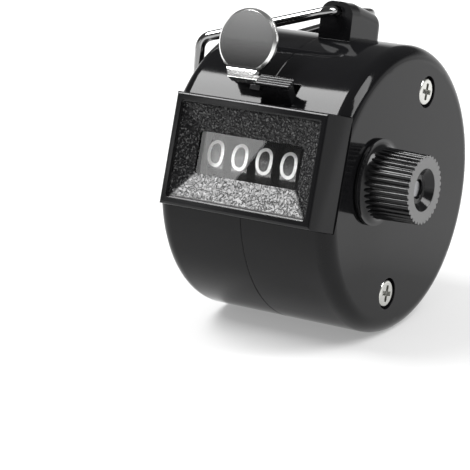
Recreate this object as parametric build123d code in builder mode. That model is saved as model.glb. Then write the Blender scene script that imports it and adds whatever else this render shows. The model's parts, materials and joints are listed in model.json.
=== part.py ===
from build123d import *
import os
from math import cos, sin, sqrt, radians

os.makedirs("parts", exist_ok=True)

# Mechanical tally counter, millimetres, standing on its drum. +X runs to the reset knob, +Y to the back, +Z up.
# The sight lies square to front_dir, a direction that leans up from the front by sight_tilt degrees.

# Drum
drum_radius = 22.5
drum_width = 30.9
edge_radius = 2.4
wall = 1.8
seam_chamfer = 0.12
running_fit = 0.06
slide_fit = 0.05

# Bezel and window
sight_tilt = 17.9
sight_rise = 0.75
rim_front = 23.36
rim_width = 26.2
rim_height = 16.4
rim_land = 0.7
rim_step = 0.35
rim_edge_radius = 0.45
bezel_width = 30.4
bezel_front_width = 26.5
flank_bulge = 0.16
bezel_seat = 19.3
bezel_plate = 20.4
window_front = 21.56
window_width = 18.4
window_height = 6.5
window_radius = 0.5
tongue_width = 4.0
tongue_offset = 9.0
tongue_thickness = 1.2
tongue_reach = 2.0
tongue_hook = 0.45
hook_length = 0.8
throat_width = 25.8
arm_relief = 0.9
slot_lip = 0.3
slot_side = 1.2
slot_shoulder = 2.4
slot_height = 3.9

# Lens
lens_thickness = 0.9
lens_margin = 0.9
lens_radius = 0.8

# Wheels
wheel_forward = 9.5
wheel_radius = 9.3
wheel_pitch = 4.35
wheel_shift = -0.75
band_width = 2.8
band_thickness = 1.0
web_thickness = 0.8
hub_radius = 2.6
ratchet_radius = 7.6
ratchet_root = 6.4
ratchet_width = 1.0
digit_count = 10
wheel_names = ("thousands", "hundreds", "tens", "units")
leaf_peg_radius = 0.9
leaf_peg_offset = 5.2
leaf_thickness = 0.25
leaf_width = 0.9

# Reset shaft, knob and home click
shaft_radius = 1.5
groove_width = 0.9
groove_depth = 0.5
shaft_left_length = 11.7
knob_gap = 0.2
knob_length = 8.16
knob_base_radius = 5.14
knob_end_radius = 4.87
rib_count = 34
rib_radius = 0.36
skirt_radius = 6.64
skirt_lip = 0.45
skirt_length = 1.7
skirt_hollow = 0.3
dish_radius = 3.3
dish_floor_radius = 2.2
dish_depth = 1.1
shaft_recess = 0.35
bush_radius = 3.0
bush_flange_radius = 4.0
bush_flange = 0.6
clip_radius = 2.8
clip_thickness = 0.5
clip_groove = 0.35
washer_radius = 3.2
cam_radius = 3.2
cam_width = 1.5
cam_gap = 0.3
cam_notch_depth = 0.8
cam_notch_half = 0.9
hub_window = 0.8
shaft_chamfer = 0.3
clip_mouth = 1.6
home_leaf_gap = 0.15
home_nose = 0.7
home_reach = 4.6
home_tail = 2.2
home_foot = 2.0
home_foot_thickness = 0.25
home_rivet_radius = 0.5
home_rivet_head = 0.9
home_rivet_height = 0.35

# Movement frame
frame_half = 9.5
sheet = 1.0
frame_floor = -11.4
post_radius = 1.5
post_forwards = (7.0, 13.8)
post_rise = -9.2
peg_radius = 0.7
peg_length = 0.9
frame_back = 3.2
frame_toe = 16.0
cheek_margin = 1.0
cheek_radius = 0.8
comb_screw_forward = 6.0
comb_screw_radius = 0.8
comb_screw_head = 1.5
comb_screw_head_height = 0.8

# Case screws
screw_circle = 16.0
screw_angles = (97.9, -91.7)
screw_radius = 1.2
screw_head_radius = 2.2
screw_head_height = 1.1
screw_head_dome = 0.5
counterbore_radius = 2.5
counterbore_depth = 1.2
screw_length = 22.0
boss_radius = 2.7
cross_width = 0.7
cross_reach = 2.6
cross_depth = 0.7

# Thumb lever and plate
pivot_forward = 18.4
pivot_rise = 7.0
pin_radius = 0.6
pin_head_radius = 0.95
pin_head = 0.35
lever_x = 2.4
lever_width = 5.2
arm_thickness = 1.5
lever_hub_radius = 1.35
yoke_thickness = 1.1
yoke_radius = 1.5
yoke_places = ((13.0, 13.35), (4.0, 13.35), (-2.6, 9.6), (-3.2, 7.2))
arm_places = ((19.0, 9.8), (21.3, 12.4))
arm_radius = 1.0
bar_forward = -3.2
bar_rise = 6.4
bar_thickness = 1.6
bar_height = 2.6
bar_width = 18.0
head_x = 2.47
head_width = 5.76
head_above = 0.85
head_below = 0.8
head_rear = 0.05
head_front = 2.0
head_lip = 0.5
head_toe = 1.25
head_corner = 0.12
head_cap = 1.3
head_brim = 0.4
head_groove = 0.17
head_groove_count = 4
stub_length = 1.75
stub_reach = 1.05
stub_height = 0.7
stub_depth = 1.3
stub_forward = 21.6
stub_rise = 11.67
spring_wire_radius = 0.2
spring_coil_radius = 1.05
spring_pitch = 0.5
spring_turns = 4
spring_gap = 0.6
spring_leg = 1.5
plate_radius = 5.08
plate_thickness = 0.9
plate_back = 19.6
plate_rise = 18.47
plate_x = -4.53
plate_bevel = 0.4
neck_bottom = 13.9
tab_drop = 1.45
tab_run = 1.45
tab_taper = 1.3
tab_bend_radius = 1.0
tab_right = 3.4

# Finger ring and its lug
lug_width = 5.65
lug_angle = 11.3
lug_front = -4.75
lug_top = 27.95
lug_brow = (-2.0, 27.85)
lug_brow_radius = 3.0
lug_nape = (5.75, 26.3)
lug_nape_radius = 2.3
lug_rear = 5.75
lug_crown = 2.1
lug_sink = 1.35
eye_radial = 26.4
wire_radius = 0.8
wire_fit = 0.08
wire_end = 0.8
elbow_along = 6.75
leg_half_end = 11.3
ring_rest = 0.36
ring_overhang = 1.85
apron_length = 11.5
apron_half_end = 10.6
elbow_radius = 1.7
kink_radius = 2.2
corner_radius = 3.2

# Leaf springs of the ratchets
comb_thickness = 0.3
comb_finger = 0.9
comb_offset = 0.1
comb_clear = 0.15
comb_base_length = 4.0
comb_base_width = 17.0
hold_angle = 205.0
hold_knee = (-0.6, -8.2)
drive_angle = 172.0
drive_straight = 0.8
comb_rivet_radius = 0.6
comb_rivet_head = 1.0
comb_rivet_height = 0.4

# The drum's centre in the part's frame: the origin is below the middle of the whole outline
half_width = drum_width / 2
shell_inside = half_width - wall
inner_radius = drum_radius - wall
front_dir = Vector(0, -cos(radians(sight_tilt)), sin(radians(sight_tilt)))
rise_dir = Vector(0, sin(radians(sight_tilt)), cos(radians(sight_tilt)))
across_dir = Vector(1, 0, 0)
knob_end = half_width + knob_gap + knob_length
lug_radial_dir = Vector(0, sin(radians(lug_angle)), cos(radians(lug_angle)))
lug_run_dir = Vector(0, cos(radians(lug_angle)), -sin(radians(lug_angle)))
ring_side = half_width + ring_overhang
ring_left = ring_side + wire_radius
rim_low = sight_rise - rim_height / 2
bezel_low = rim_low - rim_edge_radius
front_reach = -(rim_front * front_dir + rim_low * rise_dir).Y
drum_center = Vector((ring_left - knob_end) / 2, (front_reach - drum_radius) / 2, drum_radius)


def face_plane(forward):
    """Plane parallel to the sight: local x across, local y up the sight."""
    return Plane(drum_center + forward * front_dir, x_dir=across_dir, z_dir=front_dir)


def cross_plane(x):
    """Plane square to the drum's axis: local x forward, local y up the sight; it extrudes to the left."""
    return Plane(drum_center + x * across_dir, x_dir=front_dir, z_dir=-across_dir)


def screw_spots():
    return [
        (screw_circle * cos(radians(angle)), screw_circle * sin(radians(angle)))
        for angle in screw_angles
    ]


def save(part, name):
    part.label = name
    export_step(part, f"parts/{name}.step")


def is_crown_edge(edge):
    """True for the lug's long top edges, which run back over it on its left and right sides."""
    place = edge.center() - drum_center
    along_top = abs(edge.position_at(0).X - edge.position_at(1).X) < slide_fit
    return along_top and place.dot(lug_radial_dir) > lug_brow[1] - lug_crown


lug_root = drum_radius - lug_sink
stack_half = (len(wheel_names) - 1) / 2
wheel_xs = [wheel_shift + (place - stack_half) * wheel_pitch for place in range(len(wheel_names))]
finger_xs = [x + (band_width + ratchet_width) / 2 + comb_offset for x in wheel_xs]
comb_middle = sum(finger_xs) / len(finger_xs)
comb_fastener_xs = (comb_middle - wheel_pitch, comb_middle + wheel_pitch)
home_leaf_forward = wheel_forward - cam_radius - home_leaf_gap - leaf_thickness / 2
home_foot_spot = (home_leaf_forward - home_foot / 2, sight_rise - home_reach)
wheel_spot = (wheel_forward, sight_rise)
pivot_spot = (pivot_forward, pivot_rise)
opening_height = rim_height + 2 * rim_edge_radius
opening_top = sight_rise + opening_height / 2
post_spots = [(forward, post_rise) for forward in post_forwards]
arm_low = lever_x - lever_width / 2
arm_high = lever_x + lever_width / 2
slot_points = [
    (pivot_forward - slot_side, opening_top - slot_lip),
    (pivot_forward - slot_side, opening_top + slot_shoulder),
    (pivot_forward, opening_top + slot_height),
    (drum_radius, opening_top + slot_height),
    (drum_radius, opening_top - slot_lip),
]

# Left half of the drum: a moulded cup with screw bosses and the posts that hold the frame
with BuildPart() as left_shell:
    with BuildSketch(cross_plane(0)):
        Circle(drum_radius)
    extrude(amount=half_width)
    fillet(left_shell.faces().sort_by(Axis.X)[0].edges(), edge_radius)
    chamfer(left_shell.faces().sort_by(Axis.X)[-1].edges(), seam_chamfer)
    with BuildSketch(cross_plane(0)):
        Circle(inner_radius)
    extrude(amount=shell_inside, mode=Mode.SUBTRACT)
    with BuildSketch(cross_plane(0)):
        with Locations(*screw_spots()):
            Circle(boss_radius)
    extrude(amount=shell_inside)
    with BuildSketch(cross_plane(0)):
        with Locations(*screw_spots()):
            Circle(screw_radius + slide_fit)
    extrude(amount=screw_length / 2, mode=Mode.SUBTRACT)
    with BuildSketch(cross_plane(-frame_half - sheet)):
        with Locations(*post_spots):
            Circle(post_radius)
    extrude(amount=shell_inside - frame_half - sheet)
    with BuildSketch(cross_plane(-frame_half - sheet + peg_length)):
        with Locations(*post_spots):
            Circle(peg_radius)
    extrude(amount=peg_length)
    with BuildSketch(face_plane(bezel_seat)):
        with Locations((0, sight_rise)):
            Rectangle(2 * drum_width, opening_height + 2 * slide_fit)
    extrude(amount=drum_radius, mode=Mode.SUBTRACT)
    with BuildSketch(face_plane(bezel_seat - tongue_reach)):
        with Locations((0, sight_rise)):
            Rectangle(throat_width, opening_height + 2 * slide_fit)
    extrude(amount=drum_radius, mode=Mode.SUBTRACT)
    with BuildSketch(cross_plane(arm_high + slide_fit)):
        with BuildLine():
            Polyline(*slot_points, close=True)
        make_face()
    extrude(amount=lever_width + 2 * slide_fit, mode=Mode.SUBTRACT)
save(left_shell.part, "left_shell")

# Right half: the same cup with counterbored screw seats, the shaft's opening and the ring's lug
with BuildPart() as right_shell:
    with BuildSketch(cross_plane(half_width)):
        Circle(drum_radius)
    extrude(amount=half_width)
    fillet(right_shell.faces().sort_by(Axis.X)[-1].edges(), edge_radius)
    chamfer(right_shell.faces().sort_by(Axis.X)[0].edges(), seam_chamfer)
    with BuildSketch(cross_plane(shell_inside)):
        Circle(inner_radius)
    extrude(amount=shell_inside, mode=Mode.SUBTRACT)
    with BuildSketch(cross_plane(shell_inside)):
        with Locations(*screw_spots()):
            Circle(boss_radius)
    extrude(amount=shell_inside)
    with BuildSketch(cross_plane(shell_inside)):
        with Locations(*post_spots):
            Circle(post_radius)
    extrude(amount=shell_inside - frame_half - sheet)
    with BuildSketch(cross_plane(frame_half + sheet)):
        with Locations(*post_spots):
            Circle(peg_radius)
    extrude(amount=peg_length)
    with BuildSketch(cross_plane(half_width)):
        with Locations(*screw_spots()):
            Circle(screw_radius + running_fit)
        with Locations(wheel_spot):
            Circle(bush_radius)
    extrude(amount=drum_width, mode=Mode.SUBTRACT)
    with BuildSketch(cross_plane(half_width)):
        with Locations(*screw_spots()):
            Circle(counterbore_radius)
    extrude(amount=counterbore_depth, mode=Mode.SUBTRACT)
    with BuildSketch(face_plane(bezel_seat)):
        with Locations((0, sight_rise)):
            Rectangle(2 * drum_width, opening_height + 2 * slide_fit)
    extrude(amount=drum_radius, mode=Mode.SUBTRACT)
    with BuildSketch(face_plane(bezel_seat - tongue_reach)):
        with Locations((0, sight_rise)):
            Rectangle(throat_width, opening_height + 2 * slide_fit)
    extrude(amount=drum_radius, mode=Mode.SUBTRACT)
    with BuildSketch(cross_plane(arm_high + slide_fit)):
        with BuildLine():
            Polyline(*slot_points, close=True)
        make_face()
    extrude(amount=lever_width + 2 * slide_fit, mode=Mode.SUBTRACT)
    with BuildSketch(Plane(drum_center, x_dir=lug_run_dir, z_dir=across_dir)):
        with BuildLine():
            FilletPolyline(
                (lug_front, lug_top),
                lug_brow,
                lug_nape,
                (lug_rear, lug_root),
                radius=[lug_brow_radius, lug_nape_radius],
            )
            Polyline((lug_rear, lug_root), (lug_front, lug_root), (lug_front, lug_top))
        make_face()
    extrude(amount=lug_width)
    fillet(right_shell.edges().filter_by(is_crown_edge), lug_crown)
    with BuildSketch(Plane(drum_center + lug_front * lug_run_dir, x_dir=across_dir, z_dir=-lug_run_dir)):
        with Locations((lug_width / 2, eye_radial)):
            Circle(wire_radius + wire_fit)
    extrude(amount=lug_front - lug_rear, mode=Mode.SUBTRACT)
save(right_shell.part, "right_shell")

# Front bezel: one moulding, a thin bright rim round slopes that run in to the window, with four snap tongues
bevel_front = rim_front - rim_step
flank_middle = ((bezel_width + bezel_front_width) / 4 + flank_bulge, -(bezel_seat + rim_front) / 2)
with BuildPart() as front_bezel:
    with BuildSketch(Plane(drum_center + bezel_low * rise_dir, x_dir=across_dir, z_dir=rise_dir)):
        with BuildLine():
            Line((0, -bezel_seat), (bezel_width / 2, -bezel_seat))
            ThreePointArc(
                (bezel_width / 2, -bezel_seat), flank_middle, (bezel_front_width / 2, -rim_front)
            )
            Line((bezel_front_width / 2, -rim_front), (0, -rim_front))
            mirror(about=Plane.YZ)
        make_face()
    extrude(amount=opening_height)
    front_edges = front_bezel.faces().sort_by(Axis((0, 0, 0), front_dir))[-1].edges()
    fillet(front_edges, rim_edge_radius)
    with BuildSketch(face_plane(rim_front)):
        with Locations((0, sight_rise)):
            RectangleRounded(rim_width - 2 * rim_land, rim_height - 2 * rim_land, window_radius)
    extrude(amount=-rim_step, mode=Mode.SUBTRACT)
    with BuildSketch(face_plane(bevel_front)):
        with Locations((0, sight_rise)):
            RectangleRounded(rim_width - 2 * rim_land, rim_height - 2 * rim_land, window_radius)
    with BuildSketch(face_plane(window_front)):
        with Locations((0, sight_rise)):
            RectangleRounded(window_width, window_height, window_radius)
    loft(ruled=True, mode=Mode.SUBTRACT)
    with BuildSketch(face_plane(window_front)):
        with Locations((0, sight_rise)):
            RectangleRounded(window_width, window_height, window_radius)
    extrude(amount=bezel_seat - window_front, mode=Mode.SUBTRACT)
    with BuildSketch(face_plane(bezel_seat)):
        with Locations((0, sight_rise)):
            Rectangle(throat_width - 2 * tongue_thickness, opening_height - 2 * tongue_thickness)
    extrude(amount=bezel_plate - bezel_seat, mode=Mode.SUBTRACT)
    with BuildSketch(face_plane(bezel_plate)):
        with Locations((0, sight_rise)):
            RectangleRounded(
                window_width + 2 * (lens_margin + slide_fit),
                window_height + 2 * (lens_margin + slide_fit),
                lens_radius,
            )
    extrude(amount=lens_thickness, mode=Mode.SUBTRACT)
    for side in (-1, 1):
        tongue_rise = sight_rise + side * (opening_height - tongue_thickness) / 2
        with BuildSketch(face_plane(bezel_seat)):
            with Locations((-tongue_offset, tongue_rise), (tongue_offset, tongue_rise)):
                Rectangle(tongue_width, tongue_thickness)
        extrude(amount=-tongue_reach)
        with BuildSketch(face_plane(bezel_seat - tongue_reach)):
            hook_rise = tongue_rise + side * (tongue_thickness + tongue_hook) / 2
            with Locations((-tongue_offset, hook_rise), (tongue_offset, hook_rise)):
                Rectangle(tongue_width, tongue_hook)
        extrude(amount=hook_length)
    with BuildSketch(face_plane(bezel_seat)):
        with Locations((lever_x, opening_top)):
            Rectangle(lever_width + 2 * slide_fit, 2 * tongue_thickness)
    extrude(amount=arm_relief, mode=Mode.SUBTRACT)
save(front_bezel.part, "front_bezel")

# Window lens: a clear plate let into the back of the bezel
with BuildPart() as window_lens:
    with BuildSketch(face_plane(bezel_plate)):
        with Locations((0, sight_rise)):
            RectangleRounded(window_width + 2 * lens_margin, window_height + 2 * lens_margin, lens_radius)
    extrude(amount=lens_thickness)
save(window_lens.part, "window_lens")

# Case screws: two cross-head screws from the right half into the bosses of the left half
head_seat = half_width - counterbore_depth
with BuildPart() as case_screws:
    with BuildSketch(cross_plane(head_seat)):
        with Locations(*screw_spots()):
            Circle(screw_radius)
    extrude(amount=screw_length)
    with BuildSketch(cross_plane(head_seat + screw_head_height)):
        with Locations(*screw_spots()):
            Circle(screw_head_radius)
    extrude(amount=screw_head_height)
    head_rims = case_screws.faces().filter_by(Axis.X).group_by(Axis.X)[-1].edges()
    fillet(head_rims, screw_head_dome)
    with BuildSketch(cross_plane(head_seat + screw_head_height)):
        with Locations(*screw_spots()):
            Rectangle(cross_reach, cross_width)
            Rectangle(cross_width, cross_reach)
    extrude(amount=cross_depth, mode=Mode.SUBTRACT)
save(case_screws.part, "case_screws")

# Movement frame: a sheet folded into a U, with the bores of the shaft, the lever's pin and the case's pegs
cheek_points = [
    (frame_back, frame_floor),
    (frame_toe, frame_floor),
    (frame_toe, post_rise + 2 * post_radius),
    (pivot_forward + cheek_margin, pivot_rise - cheek_margin),
    (pivot_forward + cheek_margin, pivot_rise + cheek_margin),
    (pivot_forward - 2 * cheek_margin, pivot_rise + cheek_margin),
    (wheel_forward + hub_radius, sight_rise + 2 * hub_radius),
    (frame_back, sight_rise + 2 * hub_radius),
]
with BuildPart() as movement_frame:
    with BuildSketch(cross_plane(frame_half + sheet)):
        with BuildLine():
            FilletPolyline(*cheek_points, radius=cheek_radius, close=True)
        make_face()
    extrude(amount=2 * (frame_half + sheet))
    with BuildSketch(cross_plane(frame_half)):
        with Locations(((frame_back + frame_toe) / 2, frame_floor + sheet + drum_radius)):
            Rectangle(2 * drum_radius, 2 * drum_radius)
    extrude(amount=2 * frame_half, mode=Mode.SUBTRACT)
    with BuildSketch(cross_plane(frame_half + sheet)):
        with Locations(wheel_spot):
            Circle(shaft_radius + running_fit)
        with Locations(pivot_spot):
            Circle(pin_radius + slide_fit)
        with Locations(*post_spots):
            Circle(peg_radius + slide_fit)
    extrude(amount=2 * (frame_half + sheet), mode=Mode.SUBTRACT)
    with BuildSketch(cross_plane(frame_half + sheet)):
        with Locations(home_foot_spot):
            Circle(home_rivet_radius + slide_fit)
    extrude(amount=sheet, mode=Mode.SUBTRACT)
    with BuildSketch(Plane(drum_center + frame_floor * rise_dir, x_dir=across_dir, z_dir=-rise_dir)):
        with Locations(*[(x, comb_screw_forward) for x in comb_fastener_xs]):
            Circle(comb_screw_radius + slide_fit)
    extrude(amount=-sheet, mode=Mode.SUBTRACT)
save(movement_frame.part, "movement_frame")


def axle_plane(x):
    """Plane square to the wheels' shaft, centred on it; it extrudes to the right."""
    spot = drum_center + x * across_dir + wheel_forward * front_dir + sight_rise * rise_dir
    return Plane(spot, x_dir=rise_dir, z_dir=across_dir)


def around_axle(radius, angle):
    """A place round the shaft, at this angle up from the front, in a cross plane's terms."""
    return (
        wheel_forward + radius * cos(radians(angle)),
        sight_rise + radius * sin(radians(angle)),
    )


# Number wheels: a digit band on a web, with a ten-tooth ratchet beside it and a hub open above for its leaf
tooth_step = 360 / digit_count
tooth_points = []
for tooth in range(digit_count):
    tooth_points.append(around_axle(ratchet_root, tooth * tooth_step))
    tooth_points.append(around_axle(ratchet_radius, tooth * tooth_step))
for wheel_name, wheel_x in zip(wheel_names, wheel_xs):
    band_right = wheel_x + band_width / 2
    web_left = band_right - web_thickness
    band_left = band_right - band_width
    hub_right = band_left + wheel_pitch - slide_fit
    leaf_right = web_left - (band_width - web_thickness - leaf_width) / 2
    with BuildPart() as wheel:
        with BuildSketch(cross_plane(band_right)):
            with Locations(wheel_spot):
                Circle(wheel_radius)
        extrude(amount=band_width)
        with BuildSketch(cross_plane(web_left)):
            with Locations(wheel_spot):
                Circle(wheel_radius - band_thickness)
        extrude(amount=band_width, mode=Mode.SUBTRACT)
        with BuildSketch(cross_plane(band_right + ratchet_width)):
            with BuildLine():
                Polyline(*tooth_points, close=True)
            make_face()
        extrude(amount=ratchet_width)
        with BuildSketch(cross_plane(hub_right)):
            with Locations(wheel_spot):
                Circle(hub_radius)
        extrude(amount=hub_right - band_left)
        with BuildSketch(cross_plane(web_left)):
            with Locations((wheel_forward - leaf_peg_offset, sight_rise)):
                Circle(leaf_peg_radius)
        extrude(amount=(band_width - web_thickness + leaf_width) / 2)
        with BuildSketch(cross_plane(leaf_right + slide_fit)):
            with Locations((wheel_forward + hub_window, sight_rise + hub_window)):
                Rectangle(2 * hub_radius, 2 * hub_radius, align=(Align.MAX, Align.MIN))
        extrude(amount=leaf_width + 2 * slide_fit, mode=Mode.SUBTRACT)
        with BuildSketch(cross_plane(hub_right)):
            with Locations(wheel_spot):
                Circle(shaft_radius + running_fit)
        extrude(amount=wheel_pitch, mode=Mode.SUBTRACT)
    save(wheel.part, f"{wheel_name}_wheel")

    # Its reset leaf: an eye on the web's peg and a thin arm whose nose lies in the shaft's groove
    peg_spot = (wheel_forward - leaf_peg_offset, sight_rise)
    eye_radius = leaf_peg_radius + slide_fit
    leaf_points = [
        (peg_spot[0], peg_spot[1] + eye_radius + leaf_thickness / 2),
        (wheel_forward - shaft_radius, sight_rise + shaft_radius + leaf_thickness),
        (wheel_forward - groove_width / 4, sight_rise + shaft_radius + leaf_thickness),
        (wheel_forward, sight_rise + shaft_radius - groove_depth / 2),
    ]
    with BuildPart() as leaf:
        with BuildSketch(cross_plane(leaf_right)):
            with BuildLine():
                Polyline(*leaf_points)
            trace(line_width=leaf_thickness)
            with Locations(peg_spot):
                Circle(eye_radius + leaf_thickness)
                Circle(eye_radius, mode=Mode.SUBTRACT)
        extrude(amount=leaf_width)
    save(leaf.part, f"{wheel_name}_leaf")

# Reset shaft: plain rod with the wheels' groove along its top and a groove for the clip at its left end
shaft_right = knob_end - dish_depth - shaft_recess
clip_right = -frame_half - sheet - slide_fit
with BuildPart() as reset_shaft:
    with BuildSketch(cross_plane(shaft_right)):
        with Locations(wheel_spot):
            Circle(shaft_radius)
    extrude(amount=shaft_right + shaft_left_length)
    chamfer(reset_shaft.edges().filter_by(GeomType.CIRCLE), shaft_chamfer)
    with BuildSketch(cross_plane(frame_half - slide_fit)):
        with Locations((wheel_forward, sight_rise + shaft_radius)):
            Rectangle(groove_width, 2 * groove_depth)
    extrude(amount=2 * (frame_half - slide_fit), mode=Mode.SUBTRACT)
    with BuildSketch(cross_plane(clip_right)):
        with Locations(wheel_spot):
            Circle(shaft_radius)
            Circle(shaft_radius - clip_groove, mode=Mode.SUBTRACT)
    extrude(amount=clip_thickness, mode=Mode.SUBTRACT)
save(reset_shaft.part, "reset_shaft")

# Shaft clip: a flat ring open at one side, sprung into its groove
with BuildPart() as shaft_clip:
    with BuildSketch(cross_plane(clip_right)):
        with Locations(wheel_spot):
            Circle(clip_radius)
            Circle(shaft_radius - clip_groove, mode=Mode.SUBTRACT)
            Rectangle(
                2 * clip_radius, clip_mouth, align=(Align.MIN, Align.CENTER), mode=Mode.SUBTRACT
            )
    extrude(amount=clip_thickness)
save(shaft_clip.part, "shaft_clip")

# Stack washer: fills the space between the left cheek and the first wheel
stack_left = wheel_shift - stack_half * wheel_pitch - band_width / 2
with BuildPart() as stack_washer:
    with BuildSketch(cross_plane(stack_left - slide_fit)):
        with Locations(wheel_spot):
            Circle(washer_radius)
            Circle(shaft_radius + running_fit, mode=Mode.SUBTRACT)
    extrude(amount=stack_left + frame_half - 2 * slide_fit)
save(stack_washer.part, "stack_washer")

# Shaft bush: flanged ring pressed into the right wall from inside
with BuildPart() as shaft_bush:
    with BuildSketch(cross_plane(half_width)):
        with Locations(wheel_spot):
            Circle(bush_radius)
    extrude(amount=wall)
    with BuildSketch(cross_plane(shell_inside)):
        with Locations(wheel_spot):
            Circle(bush_flange_radius)
    extrude(amount=bush_flange)
    with BuildSketch(cross_plane(half_width)):
        with Locations(wheel_spot):
            Circle(shaft_radius + running_fit)
    extrude(amount=wall + bush_flange, mode=Mode.SUBTRACT)
save(shaft_bush.part, "shaft_bush")

# Reset knob: ribbed and slightly tapered, with a hollow flare to a skirt against the case and a dished end
knob_start = half_width + knob_gap
skirt_plane = Plane(axle_plane(knob_start).origin, x_dir=rise_dir, z_dir=-front_dir)
flare_end = (knob_base_radius, skirt_length)
flare_middle = (
    (skirt_radius + knob_base_radius) / 2 - skirt_hollow,
    (skirt_lip + skirt_length) / 2 - skirt_hollow,
)
with BuildPart() as reset_knob:
    for station, core in ((knob_start, knob_base_radius), (knob_end, knob_end_radius)):
        with BuildSketch(axle_plane(station)):
            Circle(core)
            with PolarLocations(core, rib_count):
                Circle(rib_radius)
    loft(ruled=True)
    with BuildSketch(skirt_plane):
        with BuildLine():
            Polyline(flare_end, (0, skirt_length), (0, 0), (skirt_radius, 0), (skirt_radius, skirt_lip))
            ThreePointArc((skirt_radius, skirt_lip), flare_middle, flare_end)
        make_face()
    revolve(axis=Axis(skirt_plane.origin, across_dir))
    with BuildSketch(axle_plane(knob_end - dish_depth)):
        Circle(dish_floor_radius)
    with BuildSketch(axle_plane(knob_end)):
        Circle(dish_radius)
    loft(ruled=True, mode=Mode.SUBTRACT)
    with BuildSketch(axle_plane(knob_start)):
        Circle(shaft_radius)
    extrude(amount=knob_length, mode=Mode.SUBTRACT)
save(reset_knob.part, "reset_knob")

# Home cam: pressed on the shaft beside the right cheek, with one notch that marks zero
cam_left = frame_half + sheet + cam_gap
with BuildPart() as home_cam:
    with BuildSketch(cross_plane(cam_left + cam_width)):
        with Locations(wheel_spot):
            Circle(cam_radius)
            Circle(shaft_radius, mode=Mode.SUBTRACT)
        with BuildLine():
            Polyline(
                (wheel_forward - cam_radius - cam_notch_half, sight_rise - 2 * cam_notch_half),
                (wheel_forward - cam_radius + cam_notch_depth, sight_rise),
                (wheel_forward - cam_radius - cam_notch_half, sight_rise + 2 * cam_notch_half),
                close=True,
            )
        make_face(mode=Mode.SUBTRACT)
    extrude(amount=cam_width)
save(home_cam.part, "home_cam")

# Home spring: a leaf riveted to the right cheek, whose nose drops into the cam's notch
nose_forward = wheel_forward - cam_radius + cam_notch_depth - home_leaf_gap - leaf_thickness
home_points = [
    (home_leaf_forward, sight_rise - home_reach),
    (home_leaf_forward, sight_rise - home_nose),
    (nose_forward - home_leaf_gap, sight_rise),
    (home_leaf_forward, sight_rise + home_nose),
    (home_leaf_forward, sight_rise + home_tail),
]
with BuildPart() as home_spring:
    with BuildSketch(cross_plane(cam_left + cam_width)):
        with BuildLine():
            Polyline(*home_points)
        trace(line_width=leaf_thickness)
    extrude(amount=cam_width + cam_gap)
    with BuildSketch(cross_plane(frame_half + sheet + home_foot_thickness)):
        with Locations((home_leaf_forward, home_foot_spot[1])):
            Rectangle(home_foot, home_foot, align=(Align.MAX, Align.CENTER))
        with Locations(home_foot_spot):
            Circle(home_rivet_radius + slide_fit, mode=Mode.SUBTRACT)
    extrude(amount=home_foot_thickness)
save(home_spring.part, "home_spring")

with BuildPart() as home_rivet:
    with BuildSketch(cross_plane(frame_half + sheet + home_foot_thickness)):
        with Locations(home_foot_spot):
            Circle(home_rivet_radius)
    extrude(amount=sheet + home_foot_thickness)
    with BuildSketch(cross_plane(frame_half + sheet + home_foot_thickness + home_rivet_height)):
        with Locations(home_foot_spot):
            Circle(home_rivet_head)
    extrude(amount=home_rivet_height)
save(home_rivet.part, "home_rivet")

# Holding comb: leaf spring under the frame, one finger up to each ratchet
hold_tip = around_axle(ratchet_radius + comb_clear, hold_angle)
hold_points = [
    (comb_screw_forward, frame_floor - comb_thickness / 2),
    (frame_back, frame_floor - comb_thickness / 2),
    hold_knee,
    hold_tip,
]
with BuildPart() as holding_comb:
    for finger_x in finger_xs:
        with BuildSketch(cross_plane(finger_x + comb_finger / 2)):
            with BuildLine():
                Polyline(*hold_points)
            trace(line_width=comb_thickness)
        extrude(amount=comb_finger)
    with BuildSketch(Plane(drum_center + frame_floor * rise_dir, x_dir=across_dir, z_dir=-rise_dir)):
        with Locations((comb_middle, comb_screw_forward)):
            Rectangle(comb_base_width, comb_base_length)
        with Locations(*[(x, comb_screw_forward) for x in comb_fastener_xs]):
            Circle(comb_screw_radius + slide_fit, mode=Mode.SUBTRACT)
    extrude(amount=comb_thickness)
save(holding_comb.part, "holding_comb")

with BuildPart() as comb_screws:
    floor_plane = Plane(drum_center + frame_floor * rise_dir, x_dir=across_dir, z_dir=-rise_dir)
    with BuildSketch(floor_plane.offset(-sheet)):
        with Locations(*[(x, comb_screw_forward) for x in comb_fastener_xs]):
            Circle(comb_screw_radius)
    extrude(amount=sheet + comb_thickness)
    with BuildSketch(floor_plane.offset(comb_thickness)):
        with Locations(*[(x, comb_screw_forward) for x in comb_fastener_xs]):
            Circle(comb_screw_head)
            Rectangle(2 * comb_screw_head, cross_width, mode=Mode.SUBTRACT)
    extrude(amount=comb_screw_head_height)
    with BuildSketch(floor_plane.offset(comb_thickness)):
        with Locations(*[(x, comb_screw_forward) for x in comb_fastener_xs]):
            Circle(comb_screw_head)
    extrude(amount=comb_screw_head_height / 2)
save(comb_screws.part, "comb_screws")

# Thumb lever: arm and grooved head outside, hub on the pin, and a yoke over the wheels to the drive comb's bar
head_left = head_x - head_width / 2
head_right = head_x + head_width / 2
neck_low = neck_bottom + tab_bend_radius / 4
neck_width = 2 * sqrt(plate_radius**2 - (plate_rise - neck_low) ** 2)
tab_points = [
    (plate_back + plate_thickness / 2, neck_low + plate_bevel),
    (plate_back + plate_thickness / 2, neck_bottom),
    (plate_back + plate_thickness / 2 + tab_run, neck_bottom - tab_drop),
]
tab_half = (
    (tab_points[1][0] + tab_points[2][0]) / 2,
    (tab_points[1][1] + tab_points[2][1]) / 2,
)
tab_middle = drum_center + tab_half[0] * front_dir + tab_half[1] * rise_dir
tab_dir = (tab_run * front_dir - tab_drop * rise_dir).normalized()


def head_plane(x):
    """Plane square to the drum's axis, centred on the tab: local x down the tab; it extrudes to the left."""
    return Plane(tab_middle + x * across_dir, x_dir=tab_dir, z_dir=-across_dir)


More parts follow.
